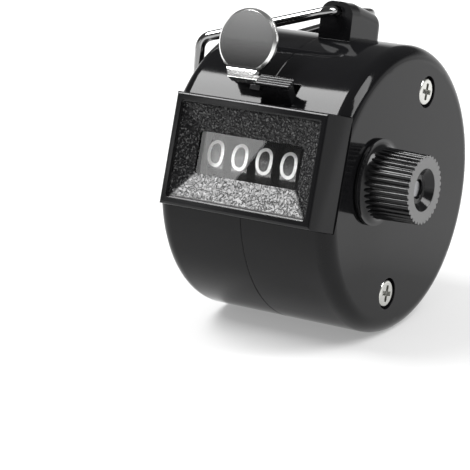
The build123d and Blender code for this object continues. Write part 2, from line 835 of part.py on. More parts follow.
head_points = [
    (-head_rear, head_above),
    (head_front, head_above),
    (head_front, head_above - head_lip),
    (head_toe, -head_below),
    (-head_rear, -head_below),
]
with BuildPart() as thumb_lever:
    with BuildSketch(cross_plane(arm_high)):
        with BuildLine():
            FilletPolyline(pivot_spot, *arm_places, radius=arm_radius)
        trace(line_width=arm_thickness)
        with BuildLine():
            FilletPolyline(pivot_spot, *yoke_places, radius=yoke_radius)
        trace(line_width=yoke_thickness)
        with Locations(pivot_spot):
            Circle(lever_hub_radius)
    extrude(amount=lever_width)
    with BuildSketch(head_plane(head_right - head_cap)) as head_section:
        with BuildLine():
            Polyline(*head_points, close=True)
        make_face()
        fillet(head_section.vertices(), head_corner)
    extrude(amount=head_width - head_cap)
    with BuildSketch(head_plane(head_right)) as brim_section:
        with Locations((0, head_above)):
            Rectangle(head_front, head_brim, align=(Align.MIN, Align.MAX))
        fillet(brim_section.vertices(), head_corner)
    extrude(amount=head_width)
    for groove in range(head_groove_count):
        groove_place = (groove + 1 / 2) * head_front / head_groove_count
        with BuildSketch(head_plane(head_right)):
            with Locations((groove_place, head_above)):
                Circle(head_groove)
        extrude(amount=head_width, mode=Mode.SUBTRACT)
    with BuildSketch(cross_plane(head_left - stub_reach + stub_length)):
        with Locations((stub_forward, stub_rise)):
            Rectangle(stub_depth, stub_height)
    extrude(amount=stub_length)
    with BuildSketch(cross_plane(tab_right + slide_fit)):
        with BuildLine():
            Polyline(tab_half, tab_points[2])
        trace(line_width=plate_thickness + 2 * slide_fit)
    extrude(amount=head_width, mode=Mode.SUBTRACT)
    with BuildSketch(cross_plane(bar_width / 2)):
        with Locations((bar_forward, bar_rise)):
            Rectangle(bar_thickness, bar_height)
    extrude(amount=bar_width)
    with BuildSketch(face_plane(bar_forward - bar_thickness)):
        with Locations(*[(x, bar_rise) for x in comb_fastener_xs]):
            Circle(comb_rivet_radius + slide_fit)
    extrude(amount=2 * bar_thickness, mode=Mode.SUBTRACT)
    with BuildSketch(cross_plane(arm_high)):
        with Locations(pivot_spot):
            Circle(pin_radius + running_fit)
    extrude(amount=lever_width, mode=Mode.SUBTRACT)
save(thumb_lever.part, "thumb_lever")

# Thumb plate: polished steel disc, its neck bent forward into a tab that runs into the lever's head
with BuildPart() as thumb_plate:
    with BuildSketch(face_plane(plate_back)):
        with Locations((plate_x, plate_rise)):
            Circle(plate_radius)
        with Locations((plate_x, neck_low)):
            Rectangle(
                2 * plate_radius,
                2 * plate_radius,
                align=(Align.CENTER, Align.MAX),
                mode=Mode.SUBTRACT,
            )
    extrude(amount=plate_thickness)
    front_face = thumb_plate.faces().sort_by(Axis((0, 0, 0), front_dir))[-1]
    rim_edges = front_face.edges().sort_by(Axis((0, 0, 0), rise_dir))[1:]
    chamfer(rim_edges, plate_bevel)
    with BuildSketch(cross_plane(plate_x + neck_width / 2)):
        with BuildLine():
            FilletPolyline(*tab_points, radius=tab_bend_radius)
        trace(line_width=plate_thickness)
    extrude(amount=neck_width)
    with BuildSketch(face_plane(plate_back)):
        with BuildLine():
            Polyline(
                (plate_x - neck_width / 2, neck_low),
                (plate_x - neck_width / 2, neck_low - 2 * tab_drop),
                (plate_x - neck_width / 2 + 2 * tab_taper, neck_low - 2 * tab_drop),
                close=True,
            )
        make_face()
    extrude(amount=2 * tab_run, mode=Mode.SUBTRACT)
    with BuildSketch(cross_plane(tab_right)):
        with BuildLine():
            Polyline(tab_half, tab_points[2])
        trace(line_width=plate_thickness)
    extrude(amount=tab_right - plate_x)
save(thumb_plate.part, "thumb_plate")

# Lever pin: riveted across the frame's cheeks
pin_reach = frame_half + sheet
with BuildPart() as lever_pin:
    with BuildSketch(cross_plane(pin_reach)):
        with Locations(pivot_spot):
            Circle(pin_radius)
    extrude(amount=2 * pin_reach)
    for head_plane_x in (pin_reach + pin_head, -pin_reach):
        with BuildSketch(cross_plane(head_plane_x)):
            with Locations(pivot_spot):
                Circle(pin_head_radius)
        extrude(amount=pin_head)
save(lever_pin.part, "lever_pin")

# Lever spring: close coils round the pin beside the lever's hub, with two short legs
pivot_point = drum_center + pivot_forward * front_dir + pivot_rise * rise_dir
away_forward = pivot_forward - wheel_forward
away_rise = pivot_rise - sight_rise
away_dir = (away_forward * front_dir + away_rise * rise_dir).normalized()
spring_start = pivot_point + (arm_low - spring_gap) * across_dir
spring_plane = Plane(spring_start, x_dir=away_dir, z_dir=-across_dir)
with BuildPart() as lever_spring:
    with BuildLine() as spring_path:
        coil = Helix(spring_pitch, spring_pitch * spring_turns, spring_coil_radius)
        Line(coil @ 1, coil @ 1 + spring_leg * (coil % 1))
        lead_in = Line(coil @ 0 - spring_leg * (coil % 0), coil @ 0)
    with BuildSketch(Plane(lead_in @ 0, z_dir=lead_in % 0)):
        Circle(spring_wire_radius)
    sweep()
save(spring_plane.location * lever_spring.part, "lever_spring")

# Drive comb: leaf spring riveted to the yoke's bar, one finger down to each ratchet
drive_forward = bar_forward + bar_thickness / 2 + comb_thickness / 2
drive_tip = around_axle(ratchet_radius + comb_clear, drive_angle)
bar_low = bar_rise - bar_height / 2
drive_points = [(drive_forward, bar_rise), (drive_forward, bar_low - drive_straight), drive_tip]
with BuildPart() as drive_comb:
    for finger_x in finger_xs:
        with BuildSketch(cross_plane(finger_x + comb_finger / 2)):
            with BuildLine():
                Polyline(*drive_points)
            trace(line_width=comb_thickness)
        extrude(amount=comb_finger)
    with BuildSketch(face_plane(drive_forward - comb_thickness / 2)):
        with Locations((comb_middle, bar_rise)):
            Rectangle(comb_base_width, bar_height)
        with Locations(*[(x, bar_rise) for x in comb_fastener_xs]):
            Circle(comb_rivet_radius + slide_fit, mode=Mode.SUBTRACT)
    extrude(amount=comb_thickness)
save(drive_comb.part, "drive_comb")

with BuildPart() as comb_rivets:
    rivet_back = bar_forward - bar_thickness / 2
    with BuildSketch(face_plane(rivet_back)):
        with Locations(*[(x, bar_rise) for x in comb_fastener_xs]):
            Circle(comb_rivet_radius)
    extrude(amount=bar_thickness + comb_thickness)
    for head_back in (rivet_back - comb_rivet_height, drive_forward + comb_thickness / 2):
        with BuildSketch(face_plane(head_back)):
            with Locations(*[(x, bar_rise) for x in comb_fastener_xs]):
                Circle(comb_rivet_head)
        extrude(amount=comb_rivet_height)
save(comb_rivets.part, "comb_rivets")

# Finger ring: one bent wire whose ends spring into the lug's eye; the outer part hangs beside the left face
eye_center = drum_center + lug_width / 2 * across_dir + eye_radial * lug_radial_dir


def ring_point(along, reach, drop):
    return eye_center + along * lug_run_dir - reach * across_dir - drop * lug_radial_dir


kink_radial = sqrt(drum_radius**2 - leg_half_end**2) + ring_rest
leg_reach = lug_width / 2 + ring_side
leg_drop = eye_radial - kink_radial
half_points = [
    ring_point(wire_end, 0, 0),
    ring_point(elbow_along, 0, 0),
    ring_point(leg_half_end, leg_reach, leg_drop),
    ring_point(apron_half_end, leg_reach, leg_drop + apron_length),
]
other_half = [
    ring_point(-apron_half_end, leg_reach, leg_drop + apron_length),
    ring_point(-leg_half_end, leg_reach, leg_drop),
    ring_point(-elbow_along, 0, 0),
    ring_point(-wire_end, 0, 0),
]
ring_radii = [elbow_radius, kink_radius, corner_radius, corner_radius, kink_radius, elbow_radius]
with BuildPart() as finger_ring:
    with BuildLine() as ring_path:
        FilletPolyline(*half_points, *other_half, radius=ring_radii)
    with BuildSketch(Plane(half_points[0], z_dir=lug_run_dir)):
        Circle(wire_radius)
    sweep()
save(finger_ring.part, "finger_ring")
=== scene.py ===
import json
import math

import bpy
from mathutils import Matrix, Vector


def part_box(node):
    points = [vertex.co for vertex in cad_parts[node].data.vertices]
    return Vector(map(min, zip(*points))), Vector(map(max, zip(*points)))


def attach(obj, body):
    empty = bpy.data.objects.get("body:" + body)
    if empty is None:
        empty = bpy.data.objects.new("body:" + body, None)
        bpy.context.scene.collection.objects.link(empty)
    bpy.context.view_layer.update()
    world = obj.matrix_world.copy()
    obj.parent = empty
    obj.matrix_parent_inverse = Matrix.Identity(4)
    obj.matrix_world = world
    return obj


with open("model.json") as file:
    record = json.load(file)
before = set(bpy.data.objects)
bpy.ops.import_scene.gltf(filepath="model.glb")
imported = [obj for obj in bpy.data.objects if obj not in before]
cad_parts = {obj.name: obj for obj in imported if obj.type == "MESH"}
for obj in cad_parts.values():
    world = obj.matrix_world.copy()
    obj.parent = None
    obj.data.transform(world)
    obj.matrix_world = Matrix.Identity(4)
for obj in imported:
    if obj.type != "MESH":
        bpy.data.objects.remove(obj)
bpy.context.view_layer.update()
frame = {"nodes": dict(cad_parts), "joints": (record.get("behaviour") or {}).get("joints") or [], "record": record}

# The counter stands on the round side of its drum, with the reset knob to the right and the window in front.
# The camera stands to the right of the window and a little above it, a third of a metre away.
# Its place was solved from the drum's outline, the bezel and the knob.
mm = 0.001
drum_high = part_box("left_shell")[1]
drum_radius = drum_high.z / 2
drum_centre = Vector((drum_high.x, drum_high.y - drum_radius, drum_radius))
camera_offset = Vector((170.52, -284.91, 92.47))
camera_azimuth = 33.154
camera_elevation = 17.101
camera_lens = 166.757
camera_sensor = 36.0
camera_near, camera_far = 0.01, 20.0

camera_data = bpy.data.cameras.new("camera")
camera_data.sensor_width = camera_sensor
camera_data.lens = camera_lens
camera_data.clip_start = camera_near
camera_data.clip_end = camera_far
camera = bpy.data.objects.new("camera", camera_data)
bpy.context.scene.collection.objects.link(camera)
camera.location = drum_centre + camera_offset * mm
camera.rotation_euler = (math.radians(90 - camera_elevation), 0, math.radians(camera_azimuth))
bpy.context.scene.camera = camera
bpy.context.scene.view_settings.view_transform = "Standard"

# The studio: a white table and a pale backdrop that goes dark overhead, so that black plastic stays black.
# Both look white to the camera, to reflections and through the window, and light the counter softly.
floor_size = 3.0
floor_colour = (0.5, 0.5, 0.5, 1)
floor_roughness = 0.9
floor_near, floor_far = 0.1, 0.35
near_lift, far_lift = 0.3, 0.75
room_light = 0.6
backdrop_edges = (0.10, 0.27)
backdrop_dark = 0.12

floor_data = bpy.data.meshes.new("table_top")
floor_signs = ((-1, -1), (1, -1), (1, 1), (-1, 1))
floor_corners = [(sx * floor_size, sy * floor_size, 0) for sx, sy in floor_signs]
floor_data.from_pydata(floor_corners, [], [(0, 1, 2, 3)])
floor = bpy.data.objects.new("table_top", floor_data)
bpy.context.scene.collection.objects.link(floor)


def seen_ray(tree):
    """1 for the rays that show the background: the camera's, a reflection's or one through the lens."""
    path = tree.nodes.new("ShaderNodeLightPath")
    first = tree.nodes.new("ShaderNodeMath")
    first.operation = "MAXIMUM"
    tree.links.new(path.outputs["Is Camera Ray"], first.inputs[0])
    tree.links.new(path.outputs["Is Glossy Ray"], first.inputs[1])
    both = tree.nodes.new("ShaderNodeMath")
    both.operation = "MAXIMUM"
    tree.links.new(first.outputs[0], both.inputs[0])
    tree.links.new(path.outputs["Is Transmission Ray"], both.inputs[1])
    return both.outputs[0]


table_paint = bpy.data.materials.new("table_paint")
table_paint.use_nodes = True
tree = table_paint.node_tree
shader = tree.nodes["Principled BSDF"]
shader.inputs["Base Color"].default_value = floor_colour
shader.inputs["Roughness"].default_value = floor_roughness
shader.inputs["Specular IOR Level"].default_value = 0.0
shader.inputs["Emission Color"].default_value = (1, 1, 1, 1)
# The table's glow for these rays is weaker near the counter and stronger further out: painted shade around the
# counter.
place = tree.nodes.new("ShaderNodeTexCoord")
away = tree.nodes.new("ShaderNodeVectorMath")
away.operation = "LENGTH"
tree.links.new(place.outputs["Object"], away.inputs[0])
glow = tree.nodes.new("ShaderNodeMapRange")
glow.inputs["From Min"].default_value = floor_near
glow.inputs["From Max"].default_value = floor_far
glow.inputs["To Min"].default_value = near_lift
glow.inputs["To Max"].default_value = far_lift
tree.links.new(away.outputs["Value"], glow.inputs["Value"])
lift = tree.nodes.new("ShaderNodeMath")
lift.operation = "MULTIPLY"
tree.links.new(glow.outputs["Result"], lift.inputs[1])
tree.links.new(seen_ray(tree), lift.inputs[0])
tree.links.new(lift.outputs[0], shader.inputs["Emission Strength"])
floor_data.materials.append(table_paint)

world = bpy.data.worlds.new("studio")
bpy.context.scene.world = world
world.use_nodes = True
tree = world.node_tree
background = tree.nodes["Background"]
background.inputs["Color"].default_value = (1, 1, 1, 1)
place = tree.nodes.new("ShaderNodeTexCoord")
split = tree.nodes.new("ShaderNodeSeparateXYZ")
tree.links.new(place.outputs["Generated"], split.inputs[0])
height = tree.nodes.new("ShaderNodeMapRange")
height.inputs["From Min"].default_value = backdrop_edges[0]
height.inputs["From Max"].default_value = backdrop_edges[1]
height.inputs["To Min"].default_value = 1.0
height.inputs["To Max"].default_value = backdrop_dark
tree.links.new(split.outputs["Z"], height.inputs["Value"])
choose = tree.nodes.new("ShaderNodeMix")
choose.inputs["A"].default_value = room_light
tree.links.new(seen_ray(tree), choose.inputs["Factor"])
tree.links.new(height.outputs["Result"], choose.inputs["B"])
tree.links.new(choose.outputs["Result"], background.inputs["Strength"])

# Three soft boxes: a long one overhead, a smaller one at the right, and a card that the window reflects.
# Their places were worked out from the bright bands on the drum's top and shoulder and the veil on the lens.


def soft_box(name, offset, size_x, size_y, radiance, target=(0, 0, 0), roll=0.0):
    """A square-cornered light of this radiance, in millimetres from the drum's centre, facing the target."""
    lamp = bpy.data.lights.new(name, "AREA")
    lamp.shape = "RECTANGLE"
    lamp.size = size_x * mm
    lamp.size_y = size_y * mm
    lamp.energy = radiance * math.pi * lamp.size * lamp.size_y
    box = bpy.data.objects.new(name, lamp)
    bpy.context.scene.collection.objects.link(box)
    box.location = drum_centre + Vector(offset) * mm
    aim = (drum_centre + Vector(target) * mm - box.location).to_track_quat("-Z", "Y")
    box.rotation_euler = (aim.to_matrix() @ Matrix.Rotation(roll, 3, "Z")).to_euler()
    return box


overhead_offset, overhead_size, overhead_radiance = (-280, -205, 450), (200, 410), 20.0
side_offset, side_size, side_radiance = (340, 90, 366), (210, 360), 10.0
card_offset, card_size, card_radiance = (-141.6, -223.6, 76.3), (30, 18), 2.6
card_target = (-0.4, -20.3, 6.4)
card_roll = 70.8

overhead = soft_box("overhead_box", overhead_offset, *overhead_size, overhead_radiance)
overhead.rotation_euler = (0, 0, 0)
soft_box("side_box", side_offset, *side_size, side_radiance)
soft_box(
    "window_card", card_offset, *card_size, card_radiance, target=card_target, roll=math.radians(card_roll)
)

# The two halves of the drum: glossy black plastic, moulded, screwed together from the right.
# The mould's polish is a little uneven, and every edge is slightly rounded.
shell_colour = (0.005, 0.005, 0.0055)
shell_polish = 0.09
shell_gloss = 0.18
shell_edge = 0.1
shell_ripple = 0.004
shell_ripples_per_mm = 0.35
cloud_per_mm = 0.26
cloud_detail = 4.0
tint_spread = 0.15
bevel_samples = 6


def add(tree, kind, **settings):
    """A new node, with its plain settings."""
    node = tree.nodes.new("ShaderNode" + kind)
    for name, value in settings.items():
        setattr(node, name, value)
    return node


def calc(tree, operation, first, second=0.0, clamp=False):
    """A sum on one or two values, each a number or another node's output."""
    node = add(tree, "Math", operation=operation, use_clamp=clamp)
    for socket, value in zip(node.inputs, (first, second)):
        if isinstance(value, bpy.types.NodeSocket):
            tree.links.new(value, socket)
        else:
            socket.default_value = value
    return node.outputs[0]


def noise(tree, per_mm, detail=2.0):
    """Soft noise in the counter's own space, with this many lumps to the millimetre."""
    place = add(tree, "TexCoord")
    lumps = add(tree, "TexNoise")
    lumps.inputs["Scale"].default_value = per_mm / mm
    lumps.inputs["Detail"].default_value = detail
    tree.links.new(place.outputs["Object"], lumps.inputs["Vector"])
    return lumps.outputs["Fac"]


def ramp(tree, value, low, high, start=0.0, end=1.0):
    """The value, carried from low..high to start..end."""
    node = add(tree, "MapRange")
    node.inputs["From Min"].default_value = low
    node.inputs["From Max"].default_value = high
    node.inputs["To Min"].default_value = start
    node.inputs["To Max"].default_value = end
    tree.links.new(value, node.inputs["Value"])
    return node.outputs["Result"]


def blend_colour(tree, factor, first, second):
    """A mix of two colours, each a plain colour or another node's output."""
    node = add(tree, "Mix", data_type="RGBA")
    tree.links.new(factor, node.inputs["Factor"])
    for socket, colour in (("A", first), ("B", second)):
        if isinstance(colour, bpy.types.NodeSocket):
            tree.links.new(colour, node.inputs[socket])
        else:
            node.inputs[socket].default_value = (*colour, 1)
    return node.outputs["Result"]


def relief(tree, shader, depth, pattern):
    """Adds relief of this depth, in millimetres, on top of what the finish has."""
    bump = add(tree, "Bump")
    bump.inputs["Strength"].default_value = 1.0
    bump.inputs["Distance"].default_value = depth * mm
    before = shader.inputs["Normal"].links[0].from_socket
    tree.links.new(before, bump.inputs["Normal"])
    tree.links.new(pattern, bump.inputs["Height"])
    tree.links.new(bump.outputs["Normal"], shader.inputs["Normal"])


def finish(name, colour, polish, uneven=0.02, edge=0.08, **sockets):
    """A solid finish: colour and polish that wander a little, and edges that are slightly rounded."""
    material = bpy.data.materials.new(name)
    material.use_nodes = True
    tree = material.node_tree
    shader = tree.nodes["Principled BSDF"]
    for socket, value in sockets.items():
        shader.inputs[socket.replace("_", " ")].default_value = value
    cloud = noise(tree, cloud_per_mm, cloud_detail)
    roughness = ramp(tree, cloud, 0, 1, max(polish - uneven, 0), polish + uneven)
    tree.links.new(roughness, shader.inputs["Roughness"])
    darker = [c * (1 - tint_spread) for c in colour]
    lighter = [c * (1 + tint_spread) for c in colour]
    tint = blend_colour(tree, cloud, darker, lighter)
    tree.links.new(tint, shader.inputs["Base Color"])
    rounding = add(tree, "Bevel", samples=bevel_samples)
    rounding.inputs["Radius"].default_value = edge * mm
    tree.links.new(rounding.outputs["Normal"], shader.inputs["Normal"])
    return material, tree, shader


def dress(nodes, material):
    """Gives CAD nodes their finish."""
    for node in nodes:
        piece = frame["nodes"][node]
        piece.data.materials.clear()
        piece.data.materials.append(material)


gloss_black, tree, shader = finish(
    "gloss_black", shell_colour, shell_polish, edge=shell_edge, Specular_IOR_Level=shell_gloss
)
relief(tree, shader, shell_ripple, noise(tree, shell_ripples_per_mm))
dress(("left_shell", "right_shell"), gloss_black)

# The bezel: one moulding of black plastic, with a smooth glossy rim and flanks.
# Its four slopes down to the window have a pebbled grain, spark-eroded into the mould. The grain carries painted
# glints. The lower slope, which faces up to the lamps, has a painted sheen: pale grey pebbles between darker
# furrows.
sight_dir = Vector(next(m for m in frame["record"]["mounts"] if m["name"] == "front_rim")["axis"])
across_dir = Vector((1, 0, 0))
rise_dir = sight_dir.cross(across_dir)
sight_rise = 0.75
grain_half_width = 12.35
grain_half_height = 7.45
grain_front = 22.95
grain_back = 21.45
grain_fade = 0.1
grain_pitch = 0.62
grain_wander_per_mm = 0.9
grain_wander = 0.0005
pebble_smoothness = 0.6
pebble_edges = (0.3, 0.75)
pebble_share = 0.5
furrows_per_mm = 1.7
furrow_detail = 1.5
furrow_width = 0.05
glints_per_mm = 3.4
glint_edges = (0.55, 0.66)
lower_slope_edges = (0.2, 0.4)
lower_slope_depth = 0.5
grain_dulling = 0.12
bezel_colour = (0.005, 0.005, 0.0055)
bezel_polish = 0.12
bezel_gloss = 0.27
bezel_edge = 0.12
grain_depth = 0.15
painted_glint_colour = (0.09, 0.09, 0.09)
furrow_colour = (0.05, 0.05, 0.05)
lower_slope_sheen_colour = (0.34, 0.34, 0.34)


def facing(tree, direction):
    """How far the piece's surface faces a direction: 1 when it faces straight that way."""
    place = add(tree, "TexCoord")
    along = add(tree, "VectorMath", operation="DOT_PRODUCT")
    along.inputs[1].default_value = direction
    tree.links.new(place.outputs["Normal"], along.inputs[0])
    return along.outputs["Value"]


def distance(tree, direction):
    """How far the surface lies from the drum's centre along a direction, in millimetres."""
    place = add(tree, "TexCoord")
    from_centre = add(tree, "VectorMath", operation="SUBTRACT")
    from_centre.inputs[1].default_value = drum_centre
    tree.links.new(place.outputs["Object"], from_centre.inputs[0])
    along = add(tree, "VectorMath", operation="DOT_PRODUCT")
    along.inputs[1].default_value = direction / mm
    tree.links.new(from_centre.outputs[0], along.inputs[0])
    return along.outputs["Value"]


bezel_black, tree, shader = finish(
    "bezel_black", bezel_colour, bezel_polish, edge=bezel_edge, Specular_IOR_Level=bezel_gloss
)
across = calc(tree, "ABSOLUTE", distance(tree, across_dir))
rise = calc(tree, "ABSOLUTE", calc(tree, "SUBTRACT", distance(tree, rise_dir), sight_rise))
forward = distance(tree, sight_dir)
grained = calc(
    tree,
    "MULTIPLY",
    ramp(tree, across, grain_half_width, grain_half_width - grain_fade),
    ramp(tree, rise, grain_half_height, grain_half_height - grain_fade),
)
grained = calc(tree, "MULTIPLY", grained, ramp(tree, forward, grain_front, grain_front - grain_fade))
grained = calc(tree, "MULTIPLY", grained, ramp(tree, forward, grain_back, grain_back + grain_fade))
place = add(tree, "TexCoord")
wander = add(tree, "TexNoise")
wander.inputs["Scale"].default_value = grain_wander_per_mm / mm
tree.links.new(place.outputs["Object"], wander.inputs["Vector"])
shifted = add(tree, "Mix", data_type="VECTOR")
shifted.inputs["Factor"].default_value = grain_wander
tree.links.new(place.outputs["Object"], shifted.inputs["A"])
tree.links.new(wander.outputs["Color"], shifted.inputs["B"])
pebbles = add(tree, "TexVoronoi", feature="SMOOTH_F1")
pebbles.inputs["Scale"].default_value = 1 / (grain_pitch * mm)
pebbles.inputs["Smoothness"].default_value = pebble_smoothness
tree.links.new(shifted.outputs["Result"], pebbles.inputs["Vector"])
creases = ramp(tree, pebbles.outputs["Distance"], *pebble_edges, 0.0, -1.0)
worms = calc(tree, "ABSOLUTE", calc(tree, "SUBTRACT", noise(tree, furrows_per_mm, furrow_detail), 0.5))
furrows = ramp(tree, worms, 0.0, furrow_width)
pattern = calc(tree, "ADD", calc(tree, "MULTIPLY", creases, pebble_share), furrows)
lower_slope = ramp(tree, facing(tree, rise_dir), *lower_slope_edges)
pattern = calc(tree, "MULTIPLY", pattern, ramp(tree, lower_slope, 0, 1, 1.0, lower_slope_depth))
relief(tree, shader, grain_depth, calc(tree, "MULTIPLY", pattern, grained))
smooth_colour = shader.inputs["Base Color"].links[0].from_socket
# Painted glints: specks of lighter grey scattered over the grain.
painted_glints = ramp(tree, noise(tree, glints_per_mm), *glint_edges)
dark_grain = blend_colour(tree, painted_glints, smooth_colour, painted_glint_colour)
# Painted sheen: on the lower slope, which faces the overhead lamp, the pebbles are pale grey between darker
# furrows.
painted_sheen_grain = blend_colour(tree, furrows, furrow_colour, lower_slope_sheen_colour)
grain = blend_colour(tree, lower_slope, dark_grain, painted_sheen_grain)
tree.links.new(blend_colour(tree, grained, smooth_colour, grain), shader.inputs["Base Color"])
smooth_polish = shader.inputs["Roughness"].links[0].from_socket
polish = calc(tree, "ADD", smooth_polish, calc(tree, "MULTIPLY", grained, grain_dulling))
tree.links.new(polish, shader.inputs["Roughness"])
dress(("front_bezel",), bezel_black)

# The window: a clear plate of polished plastic, cut to size and let into the back of the bezel.
# It lets the lamps through, so that the figures behind it are lit.
lens_ior = 1.5
lens_haze = (0.93, 1.0)
lens_haze_per_mm = 0.4
lens_clear = bpy.data.materials.new("lens_clear")
lens_clear.use_nodes = True
tree = lens_clear.node_tree
shader = tree.nodes["Principled BSDF"]
shader.inputs["Roughness"].default_value = 0.0
shader.inputs["IOR"].default_value = lens_ior
shader.inputs["Transmission Weight"].default_value = 1.0
haze = ramp(tree, noise(tree, lens_haze_per_mm), 0, 1, *lens_haze)
tint = add(tree, "CombineColor")
for channel in ("Red", "Green", "Blue"):
    tree.links.new(haze, tint.inputs[channel])
tree.links.new(tint.outputs[0], shader.inputs["Base Color"])
path = add(tree, "LightPath")
clear = add(tree, "BsdfTransparent")
mix = add(tree, "MixShader")
tree.links.new(path.outputs["Is Shadow Ray"], mix.inputs[0])
tree.links.new(shader.outputs[0], mix.inputs[1])
tree.links.new(clear.outputs[0], mix.inputs[2])
tree.links.new(mix.outputs[0], tree.nodes["Material Output"].inputs["Surface"])
dress(("window_lens",), lens_clear)

# The number wheels: black plastic, each with a raised band that carries the figures 0 to 9.
# A wheel turns up and over, so the next figure stands below the one that shows.
wheel_names = ("thousands", "hundreds", "tens", "units")
wheel_colour = (0.02, 0.02, 0.02)
wheel_polish = 0.16
wheel_ior = 1.8
wheel_gloss = 1.0
wheel_black, tree, shader = finish(
    "wheel_black", wheel_colour, wheel_polish, IOR=wheel_ior, Specular_IOR_Level=wheel_gloss
)
dress([wheel + "_wheel" for wheel in wheel_names], wheel_black)

# The figures: white paint, printed on the bands as one narrow open letter form.
# Each is a thin raised ribbon, wrapped on the band.
figure_half_width = 1.2
figure_half_height = 1.82
figure_stroke = 0.52
figure_proud = 0.02
figure_sink = 0.02
figure_shift = -0.84
figure_lift = 0.2
figure_count = 10
curve_steps = 6
mitre_limit = 0.5
figure_colour = (0.95, 0.95, 0.94)
figure_roughness = 0.45
figure_edge = 0.01
paint_grain = 0.006
paint_grains_per_mm = 6.0
figure_strokes = {
    0: [("loop", [
        (0, 1), (0.74, 0.74), (1, 0), (0.74, -0.74),
        (0, -1), (-0.74, -0.74), (-1, 0), (-0.74, 0.74),
    ])],
    1: [("line", [(-0.55, 0.6), (0.15, 1), (0.15, -1)])],
    2: [
        ("curve", [(-0.95, 0.55), (-0.7, 0.86), (0, 1), (0.75, 0.84), (0.95, 0.45), (0.6, 0), (-0.95, -1)]),
        ("line", [(-0.95, -1), (0.95, -1)]),
    ],
    3: [
        ("curve", [(-0.9, 0.65), (-0.6, 0.9), (0, 1), (0.7, 0.85), (0.85, 0.5), (0.6, 0.17), (-0.1, 0.07)]),
        ("curve", [
            (-0.1, 0.07), (0.7, -0.08), (0.97, -0.5),
            (0.7, -0.87), (0, -1), (-0.65, -0.9), (-0.97, -0.6),
        ]),
    ],
    4: [("line", [(0.45, -1), (0.45, 1), (-0.97, -0.4), (0.97, -0.4)])],
    5: [
        ("line", [(0.8, 1), (-0.72, 1), (-0.85, 0.08)]),
        ("curve", [
            (-0.85, 0.08), (0, 0.24), (0.78, 0), (0.95, -0.42),
            (0.68, -0.86), (0, -1), (-0.68, -0.9), (-0.95, -0.65),
        ]),
    ],
    6: [
        ("curve", [(0.75, 0.82), (0.1, 1), (-0.65, 0.75), (-0.95, 0.1), (-0.95, -0.4)]),
        ("loop", [
            (0, 0.16), (0.7, 0), (0.97, -0.42), (0.7, -0.86),
            (0, -1), (-0.7, -0.86), (-0.95, -0.42), (-0.7, 0),
        ]),
    ],
    7: [("line", [(-0.92, 1), (0.92, 1), (-0.2, -1)])],
    8: [
        ("loop", [
            (0, 1), (0.65, 0.85), (0.82, 0.52), (0.6, 0.2),
            (0, 0.07), (-0.6, 0.2), (-0.82, 0.52), (-0.65, 0.85),
        ]),
        ("loop", [
            (0, 0.07), (0.72, -0.1), (0.97, -0.47), (0.72, -0.87),
            (0, -1), (-0.72, -0.87), (-0.97, -0.47), (-0.72, -0.1),
        ]),
    ],
}
figure_strokes[9] = [(kind, [(-x, -y) for x, y in points]) for kind, points in figure_strokes[6]]


def drawn_line(kind, points):
    """The points of a stroke: close enough to follow the band, and smoothed in a curve or a loop."""
    count = len(points)
    line = []
    if kind == "line":
        for a, b in zip(points, points[1:]):
            line += [Vector(a).lerp(Vector(b), step / curve_steps) for step in range(curve_steps)]
        return line + [Vector(points[-1])]
    for i in range(count if kind == "loop" else count - 1):
        if kind == "loop":
            a, b, c, d = (Vector(points[(i + k) % count]) for k in (-1, 0, 1, 2))
        else:
            a, b, c, d = (Vector(points[min(max(i + k, 0), count - 1)]) for k in (-1, 0, 1, 2))
        for step in range(curve_steps):
            t = step / curve_steps
            squared = t * t * (2 * a - 5 * b + 4 * c - d)
            cubed = t ** 3 * (3 * b - a - 3 * c + d)
            line.append((2 * b + t * (c - a) + squared + cubed) / 2)
    if kind == "curve":
        line.append(Vector(points[-1]))
    return line


def wrapped_figures(name, wheel_x, centre, radius):
    """The ten figures of a wheel as one mesh."""
    verts, faces = [], []
    ribbon_corners = ((-1, -figure_sink), (-1, figure_proud), (1, figure_proud), (1, -figure_sink))
    for number in range(figure_count):
        turn = -number * 2 * math.pi / figure_count
        for kind, points in figure_strokes[number]:
            line = [
                Vector((p.x * figure_half_width, p.y * figure_half_height))
                for p in drawn_line(kind, points)
            ]
            closed = kind == "loop"
            first = len(verts)
            for i, p in enumerate(line):
                before = line[i - 1] if closed or i else p
                after = line[(i + 1) % len(line)] if closed or i + 1 < len(line) else p
                into = (p - before).normalized() if p != before else (after - p).normalized()
                out = (after - p).normalized() if after != p else into
                side = Vector((-(into + out).y, (into + out).x)).normalized()
                reach = figure_stroke / 2 / max(side.dot(Vector((-into.y, into.x))), mitre_limit)
                for sign, height in ribbon_corners:
                    edge = p + sign * reach * side
                    angle = turn + (edge.y + figure_lift) / radius
                    outward = math.cos(angle) * sight_dir + math.sin(angle) * rise_dir
                    across = (wheel_x + figure_shift + edge.x) * across_dir
                    verts.append(centre + (across + (radius + height) * outward) * mm)
            count = len(line)
            for i in range(count if closed else count - 1):
                here, there = first + 4 * i, first + 4 * ((i + 1) % count)
                for k in range(4):
                    faces.append((here + k, here + (k + 1) % 4, there + (k + 1) % 4, there + k))
            if not closed:
                faces.append(tuple(first + k for k in (3, 2, 1, 0)))
                faces.append(tuple(first + 4 * (count - 1) + k for k in range(4)))
    data = bpy.data.meshes.new(name)
    data.from_pydata(verts, [], faces)
    data.update()
    figures = bpy.data.objects.new(name, data)
    bpy.context.scene.collection.objects.link(figures)
    return figures


